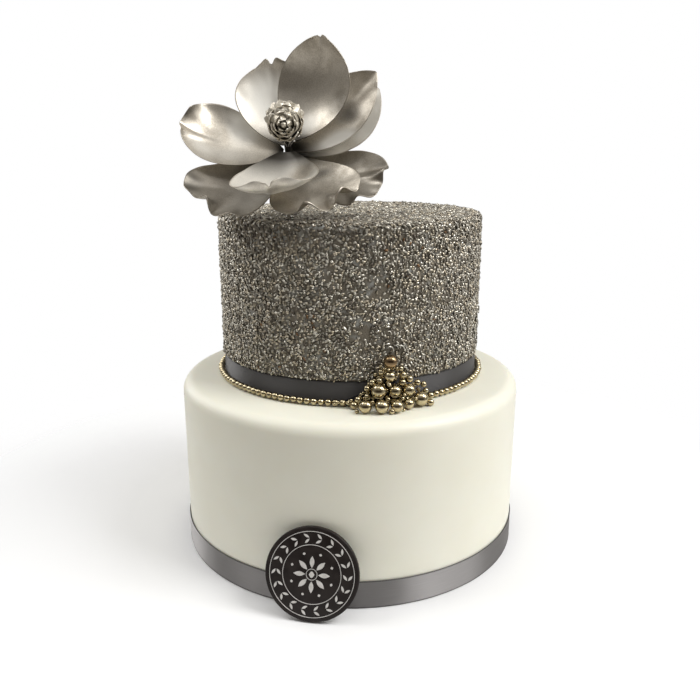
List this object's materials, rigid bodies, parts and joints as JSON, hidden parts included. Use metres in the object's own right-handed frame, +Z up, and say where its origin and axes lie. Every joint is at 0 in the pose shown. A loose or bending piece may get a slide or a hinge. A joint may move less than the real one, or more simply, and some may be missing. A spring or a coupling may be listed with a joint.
{
  "type": "wedding cake",
  "caption": "Tiered round wedding cake: plain ivory fondant below, metallic sprinkles above, with satin ribbons, sugar pearls, a silver magnolia and a plaque.",
  "frame": {"origin": "centre of the lower tier's flat underside, on the surface that the cake stands on", "axes": "+Z up through the lower tier; -Y is the front, where the plaque leans and the pearls are piled; +X is to the right seen from the front"},
  "size_m": [0.2074, 0.2215, 0.2956],
  "materials": {
    "ivory_fondant": "smooth rolled fondant with a soft satin sheen",
    "grey_satin": "grey double-faced satin ribbon",
    "slate_satin": "dark slate satin ribbon",
    "pewter_sprinkles": "edible metallic rod sprinkles in silver, pewter and champagne",
    "champagne_pearl": "polished champagne-gold sugar pearls",
    "silver_lustre": "sugar paste brushed with silver-champagne lustre dust",
    "aged_silver_lustre": "sugar paste with a darker silver lustre",
    "silver_stem": "taped flower wire with silver lustre",
    "dark_chocolate": "dark chocolate disc with a fine pale printed ornament"
  },
  "bodies": {
    "root": {"lower_tier": "ivory_fondant", "lower_ribbon": "grey_satin", "upper_tier": "pewter_sprinkles", "upper_ribbon": "slate_satin", "pearl_border": "champagne_pearl", "pearl_small": "champagne_pearl", "pearl_01": "champagne_pearl", "pearl_02": "champagne_pearl", "pearl_03": "champagne_pearl", "pearl_04": "champagne_pearl", "pearl_05": "champagne_pearl", "pearl_06": "champagne_pearl", "pearl_07": "champagne_pearl", "pearl_08": "champagne_pearl", "pearl_09": "champagne_pearl", "pearl_10": "champagne_pearl", "flower_core": "aged_silver_lustre", "flower_stem": "silver_stem", "petal_back": "silver_lustre", "petal_back_left": "silver_lustre", "petal_left": "silver_lustre", "petal_right": "silver_lustre", "petal_right_outer": "silver_lustre", "petal_low_right": "silver_lustre", "petal_low_front": "silver_lustre", "petal_front": "silver_lustre", "petal_low_left": "silver_lustre", "plaque": "dark_chocolate"}
  },
  "joints": []
}
